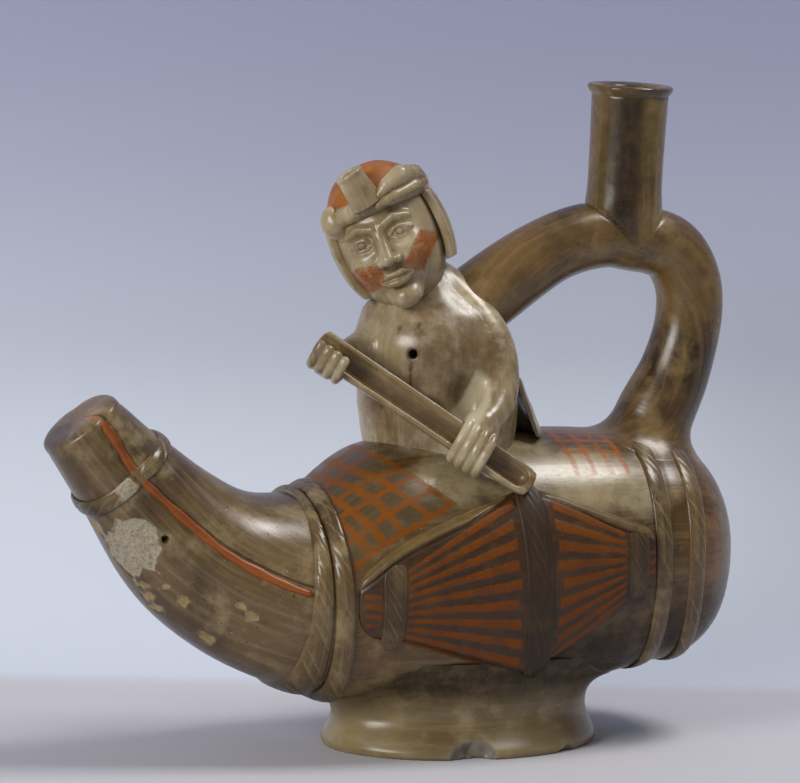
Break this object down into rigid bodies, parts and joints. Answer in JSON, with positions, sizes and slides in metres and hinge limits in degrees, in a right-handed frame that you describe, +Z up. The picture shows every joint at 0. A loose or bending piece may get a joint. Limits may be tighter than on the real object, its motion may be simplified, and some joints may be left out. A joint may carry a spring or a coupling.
{
  "type": "stirrup spout effigy vessel",
  "caption": "Burnished clay stirrup spout vessel: a seated paddler on a reed boat with a raised prow, on a flared ring foot, with a stirrup handle and straight spout.",
  "frame": {"origin": "bottom centre of the vessel's box, on the ground that the ring foot stands on", "axes": "+X towards the stern, -X towards the raised prow, -Y to the port side that the paddle is on, +Z up"},
  "size_m": [0.2422, 0.0928, 0.2218],
  "materials": {
    "cream_slip": "burnished slip",
    "dark_slip": "burnished slip",
    "olive_slip": "burnished, fire clouded",
    "prow_slip": "burnished, worn",
    "foot_slip": "satin",
    "red_slip": "matt painted slip",
    "stripe_slip": "burnished with painted stripes"
  },
  "bodies": {
    "root": {"ring_foot": "foot_slip", "hull_lower": "dark_slip", "hull_upper": "dark_slip", "prow": "prow_slip", "stern_cap": "olive_slip", "fore_rope_outer": "olive_slip", "fore_rope_inner": "olive_slip", "stern_rope_inner": "olive_slip", "stern_rope_outer": "olive_slip", "prow_neck_rope": "olive_slip", "port_seam_bead": "red_slip", "port_reed_bundle": "stripe_slip", "port_mid_lashing": "dark_slip", "port_fore_lashing": "olive_slip", "port_aft_lashing": "olive_slip", "starboard_seam_bead": "red_slip", "starboard_reed_bundle": "stripe_slip", "starboard_mid_lashing": "dark_slip", "starboard_fore_lashing": "olive_slip", "starboard_aft_lashing": "olive_slip", "torso": "cream_slip", "head": "cream_slip", "cap": "red_slip", "headband": "cream_slip", "headband_boss": "cream_slip", "headband_knot": "cream_slip", "plume_holder": "cream_slip", "left_head_flap": "cream_slip", "right_head_flap": "cream_slip", "left_arm": "cream_slip", "right_arm": "cream_slip", "left_hand": "cream_slip", "right_hand": "cream_slip", "paddle": "olive_slip", "cape": "cream_slip", "stirrup_fore_arm": "olive_slip", "stirrup_aft_arm": "olive_slip", "spout": "olive_slip", "spout_lip": "olive_slip"}
  },
  "joints": []
}
